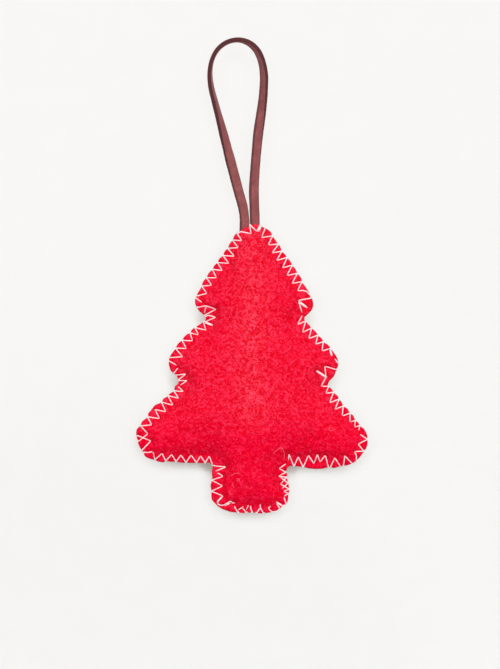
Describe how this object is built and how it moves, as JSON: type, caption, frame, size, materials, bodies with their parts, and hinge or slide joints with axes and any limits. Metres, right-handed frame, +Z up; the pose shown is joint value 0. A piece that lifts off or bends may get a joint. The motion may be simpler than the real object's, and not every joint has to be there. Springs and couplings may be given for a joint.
{
  "type": "felt christmas ornament",
  "caption": "Stuffed red felt christmas tree ornament with a white zigzag edge seam, hanging on a flat maroon strap loop.",
  "frame": {"origin": "the point under the top of the strap's loop, where a hook or a branch holds it", "axes": "+Z up along the tree, -Y out of its front, +X to the right seen from the front"},
  "size_m": [0.0899, 0.0186, 0.1835],
  "materials": {
    "red_felt": "matte",
    "white_thread": "satin",
    "maroon_suede": "matte",
    "fibre_fill": "matte"
  },
  "bodies": {
    "hanger": {"hanger_loop": "maroon_suede"},
    "tree": {"front_felt": "red_felt", "back_felt": "red_felt", "stuffing": "fibre_fill", "needle_thread": "white_thread", "bobbin_thread": "white_thread", "closing_needle_thread": "white_thread", "closing_bobbin_thread": "white_thread", "hanger_lock_stitch": "white_thread", "hanger_tail_left": "maroon_suede", "hanger_tail_right": "maroon_suede"}
  },
  "joints": [
    {"name": "hanger_fold", "type": "hinge", "parent": "hanger", "child": "tree", "pos_m": [0.00445, 0, -0.0678], "axis": [1, 0, 0], "range_deg": [-90, 90]}
  ]
}
